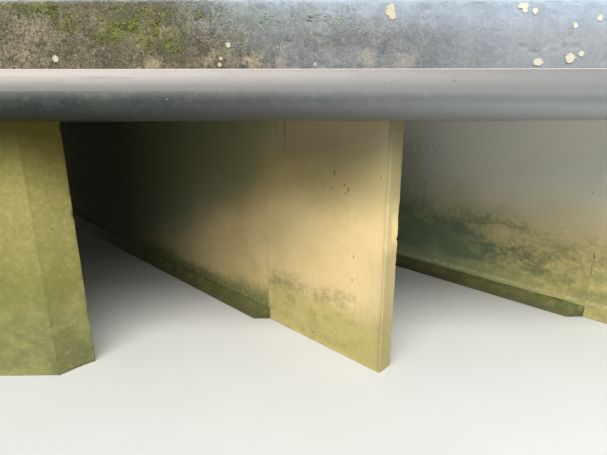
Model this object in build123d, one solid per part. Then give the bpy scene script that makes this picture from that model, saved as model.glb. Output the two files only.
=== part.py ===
from build123d import *
from math import cos, radians, sin, tan
import os

# A culvert headwall: the mouth of a twin-cell concrete culvert that passes under a road on a skew.
# The mouth bay is plain, and the barrel bays behind it have splayed corners at the foot and the roof.
# In-line wing walls close the bank on both sides, and a parapet upstand stands on the front edge.
# A coated steel pipe runs across the face on two brackets.
#
# The front face lies on y = 0 while the parts are built, with the stream flowing towards -Y.
# Offsets called u run square to the barrel from the centre wall's left face, and +u is to the right.
# Everything is moved at the end, so that the origin is the middle of the base.

# Plan of the culvert
SKEW_DEG = 45.0
LEFT_CELL_WIDTH = 1580.0
RIGHT_CELL_WIDTH = 2140.0
CENTRE_WALL_THICKNESS = 165.0
SIDE_WALL_THICKNESS = 300.0
MOUTH_RUN = 970.0
BAY_RUN = 2465.0
BAY_NAMES = ("front", "rear")
LEFT_WING_LENGTH = 1500.0
RIGHT_WING_LENGTH = 1500.0
WING_THICKNESS = 300.0

# Heights above the bed
SOFFIT_HEIGHT = 2150.0
SLAB_THICKNESS = 240.0
UPSTAND_HEIGHT = 450.0

# Concrete details
HAUNCH = 120.0
UPSTAND_THICKNESS = 300.0
UPSTAND_CHAMFER = 20.0
NOSE_CHAMFER = 8.0
UPSTAND_JOINT_GAP = 12.0

# The pipe across the face
PIPE_OUTER_DIAMETER = 324.0
PIPE_WALL = 10.0
PIPE_FACE_GAP = 60.0
PIPE_AXIS_ABOVE_SOFFIT = 80.0
PIPE_OVERHANG = 300.0

# The two brackets that carry the pipe
BRACKET_INSET = 520.0
SADDLE_SEAT = 60.0
SADDLE_LENGTH = 120.0
SADDLE_BASE_WIDTH = 260.0
SADDLE_TOP_WIDTH = 236.0
SADDLE_WRAP_DEG = 45.0
SHELF_WIDTH = 160.0
SHELF_THICKNESS = 12.0
SHELF_NOSE = 40.0
BACK_PLATE_WIDTH = 200.0
BACK_PLATE_HEIGHT = 400.0
BACK_PLATE_THICKNESS = 12.0
BACK_PLATE_RISE = 50.0
GUSSET_THICKNESS = 10.0
GUSSET_DROP = 300.0
GUSSET_TOE = 30.0
GUSSET_EDGE_INSET = 12.0
U_BOLT_DIAMETER = 20.0
U_BOLT_TAIL = 45.0
U_BOLT_HOLE_CLEARANCE = 1.0
PIPE_SEAT_CLEARANCE = 0.3

# Values worked out from the ones above
SKEW = radians(SKEW_DEG)
U_LEFT_INNER = -LEFT_CELL_WIDTH
U_LEFT_OUTER = U_LEFT_INNER - SIDE_WALL_THICKNESS
U_CENTRE_RIGHT = CENTRE_WALL_THICKNESS
U_RIGHT_INNER = U_CENTRE_RIGHT + RIGHT_CELL_WIDTH
U_RIGHT_OUTER = U_RIGHT_INNER + SIDE_WALL_THICKNESS
BARREL_RUN = MOUTH_RUN + BAY_RUN * len(BAY_NAMES)
SLAB_TOP = SOFFIT_HEIGHT + SLAB_THICKNESS
PIPE_RADIUS = PIPE_OUTER_DIAMETER / 2
PIPE_AXIS_HEIGHT = SOFFIT_HEIGHT + PIPE_AXIS_ABOVE_SOFFIT
PIPE_AXIS_Y = -(PIPE_FACE_GAP + PIPE_RADIUS)
SHELF_TOP = PIPE_AXIS_HEIGHT - PIPE_RADIUS - SADDLE_SEAT
SHELF_BOTTOM = SHELF_TOP - SHELF_THICKNESS
SHELF_FRONT_Y = -(PIPE_FACE_GAP + PIPE_OUTER_DIAMETER + SHELF_NOSE)
U_BOLT_RADIUS = U_BOLT_DIAMETER / 2
U_BOLT_BEND_RADIUS = PIPE_RADIUS + PIPE_SEAT_CLEARANCE + U_BOLT_RADIUS


def line_at(u, y):
    """Plan point where the barrel line at offset u crosses y."""
    return (u / cos(SKEW) - y * tan(SKEW), y)


def square_end_at(u, u_front):
    """Plan point on the barrel line at offset u, level with a square end whose line u_front reaches y = 0."""
    return (u * cos(SKEW) + u_front * sin(SKEW) * tan(SKEW), (u - u_front) * sin(SKEW))


X_LEFT_WALL = line_at(U_LEFT_OUTER, 0)[0]
X_RIGHT_WALL = line_at(U_RIGHT_OUTER, 0)[0]
X_LEFT_END = X_LEFT_WALL - LEFT_WING_LENGTH
X_RIGHT_END = X_RIGHT_WALL + RIGHT_WING_LENGTH
X_PIPE_LEFT = X_LEFT_END - PIPE_OVERHANG
X_PIPE_RIGHT = X_RIGHT_END + PIPE_OVERHANG
X_BARREL_BACK = line_at(U_LEFT_OUTER, BARREL_RUN)[0]
BAYS = [(name, MOUTH_RUN + i * BAY_RUN, MOUTH_RUN + (i + 1) * BAY_RUN) for i, name in enumerate(BAY_NAMES)]

# The middle of the base, which becomes the origin
X_MIDDLE = (min(X_BARREL_BACK, X_PIPE_LEFT) + X_PIPE_RIGHT) / 2
Y_MIDDLE = (SHELF_FRONT_Y + BARREL_RUN) / 2


def upright(plan_points, bottom, top):
    """A vertical prism from a closed plan outline."""
    outline = make_face(Polyline(*plan_points, close=True))
    return extrude(Pos(0, 0, bottom) * outline, top - bottom)


def along_barrel(section_points, v_front, v_back):
    """A prism along the barrel from a closed outline of (u, height) points."""
    front_direction = (sin(SKEW), -cos(SKEW), 0)
    back_origin = (-v_back * sin(SKEW), v_back * cos(SKEW), 0)
    section_plane = Plane(origin=back_origin, x_dir=(cos(SKEW), sin(SKEW), 0), z_dir=front_direction)
    outline = make_face(Polyline(*section_points, close=True))
    return extrude(section_plane * outline, v_back - v_front)


def between(shape, y_front, y_back):
    """The piece of a shape between two planes that are parallel to the front face."""
    reach = 2 * (X_PIPE_RIGHT - X_BARREL_BACK)
    slab = Box(reach, y_back - y_front, reach, align=(Align.CENTER, Align.MIN, Align.CENTER))
    return shape & (Pos(0, y_front, 0) * slab)


def barrel_depth(u, y):
    """Distance along the barrel, from the line through the centre wall's nose, where offset u reaches y."""
    return (y - u * sin(SKEW)) / cos(SKEW)


def barrel_piece(section_points, y_front, y_back):
    """A stretch of barrel with the given cross section, cut off parallel to the front face at both ends."""
    offsets = [u for u, height in section_points]
    v_front = barrel_depth(max(offsets), y_front)
    v_back = barrel_depth(min(offsets), y_back)
    return between(along_barrel(section_points, v_front, v_back), y_front, y_back)


def nose_edges(shape, plan_points):
    """The vertical edges of a wall that stand on the given plan points."""
    found = []
    for edge in shape.edges().filter_by(Axis.Z):
        middle = edge.center()
        if any(abs(middle.X - x) < 1 and abs(middle.Y - y) < 1 for x, y in plan_points):
            found.append(edge)
    return found


# The plain mouth bay, where the left and centre walls end square to the barrel
def mouth_wall(front_points, u_left, u_right):
    """A mouth wall from its end at the face to the first pour joint."""
    back_points = [line_at(u_right, MOUTH_RUN), line_at(u_left, MOUTH_RUN)]
    return upright(front_points + back_points, 0, SOFFIT_HEIGHT)


def make_mouth_walls():
    left_end = [square_end_at(U_LEFT_OUTER, U_LEFT_OUTER), square_end_at(U_LEFT_INNER, U_LEFT_OUTER)]
    centre_end = [square_end_at(0, 0), square_end_at(U_CENTRE_RIGHT, 0)]
    right_end = [line_at(U_RIGHT_INNER, 0), line_at(U_RIGHT_OUTER, 0)]
    left = mouth_wall(left_end, U_LEFT_OUTER, U_LEFT_INNER)
    centre = mouth_wall(centre_end, 0, U_CENTRE_RIGHT)
    return {
        "left_wall_mouth": chamfer(nose_edges(left, left_end[1:]), NOSE_CHAMFER),
        "centre_wall_mouth": chamfer(nose_edges(centre, centre_end), NOSE_CHAMFER),
        "right_wall_mouth": mouth_wall(right_end, U_RIGHT_INNER, U_RIGHT_OUTER),
    }


def make_mouth_slab():
    return {"deck_slab_mouth": barrel_piece(slab_plate(), 0, MOUTH_RUN)}


# The barrel bays, with splayed corners
WALLS = {
    "left_wall": (U_LEFT_OUTER, U_LEFT_INNER),
    "centre_wall": (0.0, U_CENTRE_RIGHT),
    "right_wall": (U_RIGHT_INNER, U_RIGHT_OUTER),
}
# Wall faces inside the cells, each with the side on which its cell lies
CELL_FACES = [(U_LEFT_INNER, 1), (0.0, -1), (U_CENTRE_RIGHT, 1), (U_RIGHT_INNER, -1)]


def make_barrel_walls():
    made = {}
    for name, (u_left, u_right) in WALLS.items():
        for bay, y_front, y_back in BAYS:
            corners = [line_at(u_left, y_front), line_at(u_right, y_front)]
            corners += [line_at(u_right, y_back), line_at(u_left, y_back)]
            made[name + "_" + bay] = upright(corners, HAUNCH, SOFFIT_HEIGHT)
    return made


def make_feet():
    """The splayed wall feet, cast ahead of the walls that stand on them."""
    made = {}
    for name, (u_left, u_right) in WALLS.items():
        splay_left = HAUNCH if (u_left, -1) in CELL_FACES else 0
        splay_right = HAUNCH if (u_right, 1) in CELL_FACES else 0
        section = [
            (u_left - splay_left, 0),
            (u_right + splay_right, 0),
            (u_right, HAUNCH),
            (u_left, HAUNCH),
        ]
        made[name + "_foot"] = barrel_piece(section, MOUTH_RUN, BARREL_RUN)
    return made


def slab_plate():
    return [
        (U_LEFT_OUTER, SOFFIT_HEIGHT),
        (U_RIGHT_OUTER, SOFFIT_HEIGHT),
        (U_RIGHT_OUTER, SLAB_TOP),
        (U_LEFT_OUTER, SLAB_TOP),
    ]


def haunch_section(u_wall, side):
    return [
        (u_wall, SOFFIT_HEIGHT - HAUNCH),
        (u_wall + side * HAUNCH, SOFFIT_HEIGHT),
        (u_wall, SOFFIT_HEIGHT),
    ]


def make_barrel_slabs():
    made = {}
    for bay, y_front, y_back in BAYS:
        slab = barrel_piece(slab_plate(), y_front, y_back)
        for u_wall, side in CELL_FACES:
            slab += barrel_piece(haunch_section(u_wall, side), y_front, y_back)
        made["deck_slab_" + bay] = slab
    return made


# Wing walls, in line with the front face
def make_wings():
    left = [
        (X_LEFT_END, 0),
        line_at(U_LEFT_OUTER, 0),
        line_at(U_LEFT_OUTER, WING_THICKNESS),
        (X_LEFT_END, WING_THICKNESS),
    ]
    right = [
        line_at(U_RIGHT_OUTER, 0),
        (X_RIGHT_END, 0),
        (X_RIGHT_END, WING_THICKNESS),
        line_at(U_RIGHT_OUTER, WING_THICKNESS),
    ]
    return {
        "left_wing_wall": upright(left, 0, SLAB_TOP),
        "right_wing_wall": upright(right, 0, SLAB_TOP),
    }


# Parapet upstand in three lengths
def upstand(x_left, x_right):
    length = x_right - x_left
    corner = (Align.MIN, Align.MIN, Align.MIN)
    block = Pos(x_left, 0, SLAB_TOP) * Box(length, UPSTAND_THICKNESS, UPSTAND_HEIGHT, align=corner)
    top_edges = block.faces().sort_by(Axis.Z)[-1].edges().filter_by(Axis.X)
    return chamfer(top_edges, UPSTAND_CHAMFER)


def make_upstands():
    half_gap = UPSTAND_JOINT_GAP / 2
    return {
        "left_upstand": upstand(X_LEFT_END, X_LEFT_WALL - half_gap),
        "centre_upstand": upstand(X_LEFT_WALL + half_gap, X_RIGHT_WALL - half_gap),
        "right_upstand": upstand(X_RIGHT_WALL + half_gap, X_RIGHT_END),
    }


# The pipe
def rod_along_x(radius, x_left, x_right):
    """A round bar on the pipe's own axis."""
    plane = Plane(origin=(x_left, PIPE_AXIS_Y, PIPE_AXIS_HEIGHT), x_dir=(0, 1, 0), z_dir=(1, 0, 0))
    return extrude(plane * Circle(radius), x_right - x_left)


def make_pipe():
    outside = rod_along_x(PIPE_RADIUS, X_PIPE_LEFT, X_PIPE_RIGHT)
    inside = rod_along_x(PIPE_RADIUS - PIPE_WALL, X_PIPE_LEFT, X_PIPE_RIGHT)
    return {"service_pipe": outside - inside}


# Pipe brackets
def in_yz(points, x_middle, thickness):
    """A plate standing across the pipe, from a closed outline of (y, height) points."""
    plane = Plane(origin=(x_middle - thickness / 2, 0, 0), x_dir=(0, 1, 0), z_dir=(1, 0, 0))
    return extrude(plane * make_face(Polyline(*points, close=True)), thickness)


def make_saddle(x):
    top = PIPE_AXIS_HEIGHT - PIPE_RADIUS * cos(radians(SADDLE_WRAP_DEG))
    outline = [
        (PIPE_AXIS_Y - SADDLE_BASE_WIDTH / 2, SHELF_TOP),
        (PIPE_AXIS_Y + SADDLE_BASE_WIDTH / 2, SHELF_TOP),
        (PIPE_AXIS_Y + SADDLE_TOP_WIDTH / 2, top),
        (PIPE_AXIS_Y - SADDLE_TOP_WIDTH / 2, top),
    ]
    block = in_yz(outline, x, SADDLE_LENGTH)
    return block - rod_along_x(PIPE_RADIUS + PIPE_SEAT_CLEARANCE, x - SADDLE_LENGTH, x + SADDLE_LENGTH)


def make_u_bolt(x):
    tail = SHELF_BOTTOM - U_BOLT_TAIL
    y_back = PIPE_AXIS_Y + U_BOLT_BEND_RADIUS
    y_front = PIPE_AXIS_Y - U_BOLT_BEND_RADIUS
    crown = (x, PIPE_AXIS_Y, PIPE_AXIS_HEIGHT + U_BOLT_BEND_RADIUS)
    back_leg = Line((x, y_back, tail), (x, y_back, PIPE_AXIS_HEIGHT))
    bend = ThreePointArc((x, y_back, PIPE_AXIS_HEIGHT), crown, (x, y_front, PIPE_AXIS_HEIGHT))
    front_leg = Line((x, y_front, PIPE_AXIS_HEIGHT), (x, y_front, tail))
    section = Plane(origin=(x, y_back, tail), z_dir=(0, 0, 1)) * Circle(U_BOLT_RADIUS)
    return sweep(section, path=Wire([back_leg, bend, front_leg]))


def make_shelf(x):
    corner = (Align.CENTER, Align.MAX, Align.MAX)
    length = -SHELF_FRONT_Y - BACK_PLATE_THICKNESS
    plate = Box(SHELF_WIDTH, length, SHELF_THICKNESS, align=corner)
    plate = Pos(x, -BACK_PLATE_THICKNESS, SHELF_TOP) * plate
    for side in (-1, 1):
        hole = Cylinder(U_BOLT_RADIUS + U_BOLT_HOLE_CLEARANCE, 3 * SHELF_THICKNESS)
        plate -= Pos(x, PIPE_AXIS_Y + side * U_BOLT_BEND_RADIUS, SHELF_TOP) * hole
    return plate


def make_gussets(x):
    outline = [
        (-BACK_PLATE_THICKNESS, SHELF_BOTTOM),
        (-BACK_PLATE_THICKNESS, SHELF_BOTTOM - GUSSET_DROP),
        (-BACK_PLATE_THICKNESS - GUSSET_TOE, SHELF_BOTTOM - GUSSET_DROP),
        (SHELF_FRONT_Y, SHELF_BOTTOM - GUSSET_TOE),
        (SHELF_FRONT_Y, SHELF_BOTTOM),
    ]
    offset = SHELF_WIDTH / 2 - GUSSET_EDGE_INSET - GUSSET_THICKNESS / 2
    pair = [in_yz(outline, x + side * offset, GUSSET_THICKNESS) for side in (-1, 1)]
    return Compound(children=pair)


def make_back_plate(x):
    top = SHELF_TOP + BACK_PLATE_RISE
    corner = (Align.CENTER, Align.MAX, Align.MAX)
    return Pos(x, 0, top) * Box(BACK_PLATE_WIDTH, BACK_PLATE_THICKNESS, BACK_PLATE_HEIGHT, align=corner)


def make_brackets():
    made = {}
    positions = {"left": X_LEFT_WALL - BRACKET_INSET, "right": X_RIGHT_WALL + BRACKET_INSET}
    for side, x in positions.items():
        made[side + "_bracket_back_plate"] = make_back_plate(x)
        made[side + "_bracket_shelf"] = make_shelf(x)
        made[side + "_bracket_gussets"] = make_gussets(x)
        made[side + "_pipe_saddle"] = make_saddle(x)
        made[side + "_u_bolt"] = make_u_bolt(x)
    return made


def main():
    groups = [make_mouth_walls, make_mouth_slab, make_barrel_walls, make_feet, make_barrel_slabs]
    groups += [make_wings, make_upstands, make_pipe, make_brackets]
    pieces = {}
    for group in groups:
        pieces.update(group())
    os.makedirs("parts", exist_ok=True)
    for name, shape in pieces.items():
        export_step(Pos(-X_MIDDLE, -Y_MIDDLE, 0) * shape, "parts/" + name + ".step")
    print("origin at x", round(X_MIDDLE, 3), "y", round(Y_MIDDLE, 3), "of the building frame")


main()
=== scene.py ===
"""The looks of the culvert headwall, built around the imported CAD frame."""

import math

import bmesh
import bpy
import numpy as np
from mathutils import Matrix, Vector


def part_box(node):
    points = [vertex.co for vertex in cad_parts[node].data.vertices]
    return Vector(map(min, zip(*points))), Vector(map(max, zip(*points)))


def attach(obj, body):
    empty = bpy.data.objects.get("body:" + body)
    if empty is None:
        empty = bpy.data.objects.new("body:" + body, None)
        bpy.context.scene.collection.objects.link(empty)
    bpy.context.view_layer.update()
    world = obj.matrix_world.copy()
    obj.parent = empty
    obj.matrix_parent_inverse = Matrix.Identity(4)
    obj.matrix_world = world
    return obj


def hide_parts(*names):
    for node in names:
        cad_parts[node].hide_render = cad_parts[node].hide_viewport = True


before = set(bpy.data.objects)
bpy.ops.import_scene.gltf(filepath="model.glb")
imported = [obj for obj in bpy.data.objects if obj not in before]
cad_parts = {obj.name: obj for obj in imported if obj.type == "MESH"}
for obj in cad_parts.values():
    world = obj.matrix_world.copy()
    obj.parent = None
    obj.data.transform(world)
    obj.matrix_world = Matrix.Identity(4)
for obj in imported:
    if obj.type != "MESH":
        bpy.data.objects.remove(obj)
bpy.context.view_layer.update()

# Places
# The front face lies on y = FACE_Y. Walls are painted in barrel coordinates: s runs along the barrel from the
# centre wall's nose, into the culvert, u runs square to it, to the right, and z is the height above the bed.
NOSE_X, FACE_Y = 1.5373482, -2.738
SOFFIT, SLAB_TOP, UPSTAND_TOP = 2.15, 2.39, 2.84
FIRST_JOINT, SECOND_JOINT, BACK_END = 0.97, 3.435, 5.9  # depths behind the face where the pours end
FOOT_TOP, CENTRE_THICKNESS, SIDE_THICKNESS = 0.12, 0.165, 0.3
PIPE_Y, PIPE_Z, PIPE_R, PIPE_BORE = FACE_Y - 0.222, 2.23, 0.162, 0.152
HALF = math.sqrt(0.5)
LEFT_WALL_U = -1.58
WING_JOINT_X = NOSE_X + (LEFT_WALL_U - SIDE_THICKNESS) / HALF


def barrel(p):
    """Barrel coordinates s, u and z of points in the part's frame."""
    x, y = p[:, 0] - NOSE_X, p[:, 1] - FACE_Y
    return (y - x) * HALF, (x + y) * HALF, p[:, 2]


AXES = dict(zip("xyz", np.eye(3)), s=np.array([-HALF, HALF, 0.0]), u=np.array([HALF, HALF, 0.0]))
ORIGIN = np.array([NOSE_X, FACE_Y, 0.0])


# Noise
def hashed(ix, iy, iz, seed):
    """A fixed random number from 0 to 1 for each cell of a grid."""
    h = (ix * 374761393 + iy * 668265263 + iz * 1103515245 + seed * 974634777) & 0xFFFFFFFF
    h = ((h ^ (h >> 13)) * 1274126177) & 0xFFFFFFFF
    h = ((h ^ (h >> 16)) * 668265263) & 0xFFFFFFFF
    return (h ^ (h >> 15)) / 4294967295.0


def noise(p, size, seed=0):
    """Smooth noise from 0 to 1. size is one length, or one for each axis."""
    q = p / np.asarray(size, float)
    cell = np.floor(q).astype(np.int64)
    f = q - cell
    f = f * f * (3 - 2 * f)
    total = np.zeros(len(p))
    for corner in range(8):
        c = ((corner >> 2) & 1, (corner >> 1) & 1, corner & 1)
        weight = np.ones(len(p))
        for i in range(3):
            weight = weight * (f[:, i] if c[i] else 1 - f[:, i])
        total += weight * hashed(cell[:, 0] + c[0], cell[:, 1] + c[1], cell[:, 2] + c[2], seed)
    return total


def cloud(p, size, seed=0, octaves=3, gain=0.5):
    """Noise from 0 to 1 with finer noise laid over it."""
    total, weight, reach = 0.0, 1.0, 0.0
    for i in range(octaves):
        total = total + weight * noise(p, np.asarray(size, float) / 2**i, seed + 17 * i)
        reach += weight
        weight *= gain
    return total / reach


def smooth(value, low, high):
    """0 at low, 1 at high and a soft slope between, where low may be the larger."""
    t = np.clip((value - low) / (high - low), 0, 1)
    return t * t * (3 - 2 * t)


# Shaders
def rgb(r, g, b):
    """A colour from 0 to 255 values as the linear colour that shaders take."""
    return tuple((c / 255 / 12.92) if c <= 10.3 else ((c / 255 + 0.055) / 1.055) ** 2.4 for c in (r, g, b))


class Nodes:
    """The node tree of a material or of the world, each node made and fed in one call."""

    def __init__(self, owner):
        owner.use_nodes = True
        self.tree = owner.node_tree
        self.tree.nodes.clear()

    def add(self, kind, feeds=None, **settings):
        node = self.tree.nodes.new(kind)
        for key, value in settings.items():
            setattr(node, key, value)
        for socket, value in (feeds or {}).items():
            self.feed(node.inputs[socket], value)
        return node

    def feed(self, socket, value):
        if isinstance(value, bpy.types.NodeSocket):
            self.tree.links.new(value, socket)
        elif socket.type == "RGBA":
            socket.default_value = (*value, 1.0)
        else:
            socket.default_value = value

    def sums(self, operation, a, b=0.0):
        return self.add("ShaderNodeMath", {0: a, 1: b}, operation=operation).outputs[0]

    def times(self, a, b):
        return self.sums("MULTIPLY", a, b)

    def plus(self, a, b):
        return self.sums("ADD", a, b)

    def step(self, value, low, high, to_low=0.0, to_high=1.0):
        """A step from to_low at low to to_high at high."""
        feeds = {"Value": value, "From Min": low, "From Max": high, "To Min": to_low, "To Max": to_high}
        return self.add("ShaderNodeMapRange", feeds, interpolation_type="SMOOTHSTEP").outputs[0]

    def mix(self, factor, a, b):
        return self.add("ShaderNodeMix", {0: factor, 6: a, 7: b}, data_type="RGBA").outputs[2]

    def seen(self):
        """1 for the rays that show a surface to the camera, in a mirror or through glass too."""
        path = self.add("ShaderNodeLightPath").outputs
        seen = self.sums("MAXIMUM", path["Is Camera Ray"], path["Is Glossy Ray"])
        return self.sums("MAXIMUM", seen, path["Is Transmission Ray"])


class Shader(Nodes):
    """A procedural material. Its colour is built up layer by layer in m.colour."""

    def __init__(self, name):
        self.material = bpy.data.materials.new(name)
        super().__init__(self.material)
        self.bsdf = self.add("ShaderNodeBsdfPrincipled")
        self.add("ShaderNodeOutputMaterial", {0: self.bsdf.outputs[0]})
        self.place = self.add("ShaderNodeTexCoord").outputs["Object"]
        self.normal = self.colour = None

    def cover(self, factor, tint):
        """Lays a tint over the colour."""
        self.colour = self.mix(factor, self.colour, tint)

    def over(self, value, low, high, amount, tint):
        """Lays a tint over the colour, up to amount, where a value passes from low to high."""
        self.cover(self.times(self.step(value, low, high), amount), tint)

    def stretched(self, size, stretch):
        shares = [1 / (size * k) for k in stretch]
        return self.add("ShaderNodeVectorMath", {0: self.place, 1: shares}, operation="MULTIPLY").outputs[0]

    def noise(self, size, detail=3.0, rough=0.5, stretch=(1, 1, 1), distortion=0.0):
        feeds = {"Vector": self.stretched(size, stretch), "Scale": 1.0, "Detail": detail, "Roughness": rough}
        return self.add("ShaderNodeTexNoise", {**feeds, "Distortion": distortion}).outputs[0]

    def cells(self, size, stretch=(1, 1, 1)):
        feeds = {"Vector": self.stretched(size, stretch), "Scale": 1.0}
        return self.add("ShaderNodeTexVoronoi", feeds).outputs

    def value(self, cells):
        """A random number from 0 to 1 for each cell."""
        return self.add("ShaderNodeSeparateColor", {0: cells["Color"]}).outputs[0]

    def mask(self, name):
        return self.add("ShaderNodeAttribute", attribute_name=name).outputs["Fac"]

    def broken(self, name, pattern, share, low, high):
        """A painted mask whose rim a pattern breaks up."""
        shift = self.times(self.plus(self.mask(name), -0.5), share)
        return self.times(self.step(self.plus(pattern, shift), low, high), self.mask(name))

    def along(self, vector, axis):
        return self.add("ShaderNodeSeparateXYZ", {0: vector}).outputs[axis]

    def facing(self, axis):
        return self.along(self.add("ShaderNodeNewGeometry").outputs["Normal"], axis)

    def where(self, axis):
        return self.along(self.place, axis)

    def bump(self, height, distance, strength=1.0):
        feeds = {"Strength": strength, "Distance": distance, "Height": height}
        if self.normal is not None:
            feeds["Normal"] = self.normal
        self.normal = self.add("ShaderNodeBump", feeds).outputs[0]

    def finish(self, roughness, **others):
        others.update(Base_Color=self.colour, Roughness=roughness)
        if self.normal is not None:
            others["Normal"] = self.normal
        for name, value in others.items():
            self.feed(self.bsdf.inputs[name.replace("_", " ")], value)
        return self.material


def wall_material():
    """Board-marked cast concrete, cream where clean, with damp, green growth and lime runs where painted, and
    tints that stand in for painted shade and painted glare.
    """
    m = Shader("cast_wall")
    broad = m.noise(0.45, 3, 0.55)
    fine = m.noise(0.035, 4, 0.6)
    streaks = m.noise(0.012, 3, 0.6, stretch=(1, 1, 30))
    m.colour = m.mix(m.step(broad, 0.3, 0.7), rgb(232, 208, 156), rgb(221, 195, 138))
    m.over(streaks, 0.48, 0.78, 0.13, rgb(190, 164, 110))
    m.over(fine, 0.5, 0.8, 0.25, rgb(244, 226, 182))
    wide_streaks = m.noise(0.06, 4, 0.6, stretch=(1, 1, 10))
    m.over(wide_streaks, 0.5, 0.75, 0.12, rgb(186, 162, 108))
    sand = m.noise(0.011, 4, 0.75)
    m.over(sand, 0.5, 0.72, 0.16, rgb(176, 152, 104))
    mottle = m.noise(0.042, 7, 0.72, distortion=0.25)
    for name, tint, low, high in (
            # a cool neutral tint: painted shade high up and deep on the centre wall, painted glare over the
            # right wall's upper part, and a plain tone elsewhere
            ("grey_shade_and_glare", rgb(204, 203, 184), -0.2, 0.5),
            # painted glare: a near-white tint over the right wall's upper part near the mouth
            ("painted_glare", rgb(238, 238, 232), -0.2, 0.5),
            # soot, and painted shade deep in the barrels, on the nose's arris and under the pipe
            ("soot_and_shade", rgb(98, 98, 82), 0.1, 0.7),
            ("yellow", rgb(184, 174, 104), -0.1, 0.6),
            ("shade", rgb(160, 148, 108), -0.2, 0.5),
            # green growth, and on the faces by the mouth painted shade of plants
            ("algae_and_shade", rgb(126, 128, 78), 0.22, 0.72),
            ("damp", rgb(142, 130, 90), 0.26, 0.72),
            ("dark", rgb(84, 86, 58), 0.24, 0.74),
            # painted shade: a cool green tint where the soffit and the pipe shade the walls
            ("green_shade", rgb(122, 142, 112), -0.2, 0.5),
            ("olive", rgb(110, 104, 32), -0.1, 0.6),
            ("lime", rgb(252, 236, 190), 0.34, 0.62)):
        m.cover(m.broken(name, mottle, 0.45, low, high), tint)
    m.over(m.mask("mark"), 0.15, 0.6, 0.7, rgb(96, 84, 54))
    drip = m.times(m.step(m.noise(0.013, 2, 0.5, stretch=(1, 1, 60)), 0.57, 0.64), m.mask("drip"))
    m.cover(m.times(drip, 0.8), rgb(56, 50, 34))
    tick = m.step(m.cells(0.16, stretch=(1, 1, 1.7))["Distance"], 0.06, 0.03)
    m.cover(m.times(tick, 0.35), rgb(110, 94, 62))
    m.bump(m.noise(0.01, 3, 0.6), 0.0012, 0.6)
    m.bump(streaks, 0.0012, 0.5)
    m.bump(tick, -0.004)
    rough = m.step(m.mask("damp"), 0.0, 1.0, 0.88, 0.62)
    return m.finish(rough, Specular_IOR_Level=0.3)


def upstand_material():
    """Dark weathered concrete: exposed fine grit, green film above, tan growth below, and a painted bluish
    glare that lightens it to the right and towards the top, with a painted highlight on the top chamfer.
    """
    m = Shader("weathered_upstand")
    broad = m.noise(0.16, 5, 0.65)
    rise = m.step(m.where(2), SLAB_TOP + 0.06, UPSTAND_TOP - 0.02)
    blotch = m.noise(0.075, 6, 0.72)
    m.colour = m.mix(m.step(broad, 0.32, 0.68), rgb(134, 125, 101), rgb(92, 87, 70))
    m.over(blotch, 0.47, 0.6, 0.7, rgb(58, 55, 42))
    # painted glare: bluish lighter tones, more to the right and higher up
    low_pale = m.mix(m.mask("painted_glare_to_right"), rgb(117, 123, 133), rgb(140, 143, 147))
    painted_glare_and_highlight = m.mix(m.step(rise, 0.35, 1.0), low_pale, rgb(148, 159, 172))
    painted_glare_and_highlight = m.mix(m.times(m.step(broad, 0.35, 0.65), 0.3), painted_glare_and_highlight, rgb(104, 110, 119))
    m.cover(m.mask("painted_glare_and_highlight"), painted_glare_and_highlight)
    grain = m.value(m.cells(0.0085))
    grain_fine = m.value(m.cells(0.0065))
    clump = m.noise(0.035, 5, 0.75)
    dark_grain = m.step(m.plus(grain, m.times(clump, 0.9)), 0.92, 1.1)
    dark_contrast = m.step(m.mask("painted_glare_and_highlight"), 0.0, 1.0, 0.6, 0.1)
    m.cover(m.times(dark_grain, dark_contrast), rgb(56, 52, 38))
    light_grain = m.step(m.plus(grain_fine, m.times(clump, -0.8)), 0.38, 0.54)
    light_contrast = m.step(m.mask("painted_glare_and_highlight"), 0.0, 1.0, 0.27, 0.16)
    light = m.mix(m.mask("painted_glare_and_highlight"), rgb(186, 178, 150), rgb(176, 180, 184))
    m.cover(m.times(light_grain, light_contrast), light)
    contrast = m.step(m.mask("painted_glare_and_highlight"), 0.0, 0.8, 1.0, 0.1)
    tan = m.mix(m.step(m.mask("painted_glare_and_highlight"), 0.3, 0.8), rgb(166, 150, 122), rgb(154, 150, 140))
    speck = m.noise(0.03, 7, 0.78)
    crust = m.noise(0.014, 6, 0.8)
    for name, tint, strength, pattern in (
            ("dark", rgb(64, 61, 47), 0.85, speck),
            ("film", rgb(86, 92, 46), 0.6, speck),
            ("tan", tan, 0.85, crust)):
        spread = m.times(m.broken(name, pattern, 0.3, 0.42, 0.62), strength)
        m.cover(m.times(spread, m.step(grain, 0.1, 0.5, 1.0, 0.45)), tint)
    holes = m.cells(0.03)
    pit = m.times(m.step(holes["Distance"], 0.34, 0.14), m.step(m.value(holes), 0.4, 0.6))
    m.cover(m.times(m.times(pit, contrast), 0.8), rgb(46, 42, 28))
    m.bump(m.noise(0.02, 7, 0.8), 0.006, 0.8)
    m.bump(m.times(pit, contrast), -0.001)
    return m.finish(0.92, Specular_IOR_Level=0.3)


def plain_concrete(name, light, dark, stain, green, roughness):
    """Cast concrete with two tones, fine staining, small holes and moss where it is painted."""
    m = Shader(name)
    broad = m.noise(0.35, 4, 0.6)
    fine = m.noise(0.02, 4, 0.65)
    m.colour = m.mix(m.step(broad, 0.3, 0.7), light, dark)
    m.over(fine, 0.45, 0.75, 0.5, stain)
    patches = m.noise(0.09, 7, 0.72, distortion=0.3)
    m.over(patches, 0.36, 0.6, m.mask("moss"), green)
    m.cover(m.mask("wet"), rgb(62, 58, 38))
    hole = m.step(m.cells(0.05)["Distance"], 0.07, 0.03)
    m.cover(m.times(hole, 0.6), rgb(60, 54, 40))
    m.bump(fine, 0.003, 0.7)
    m.bump(hole, -0.003)
    return m.finish(roughness, Specular_IOR_Level=0.35)


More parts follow.
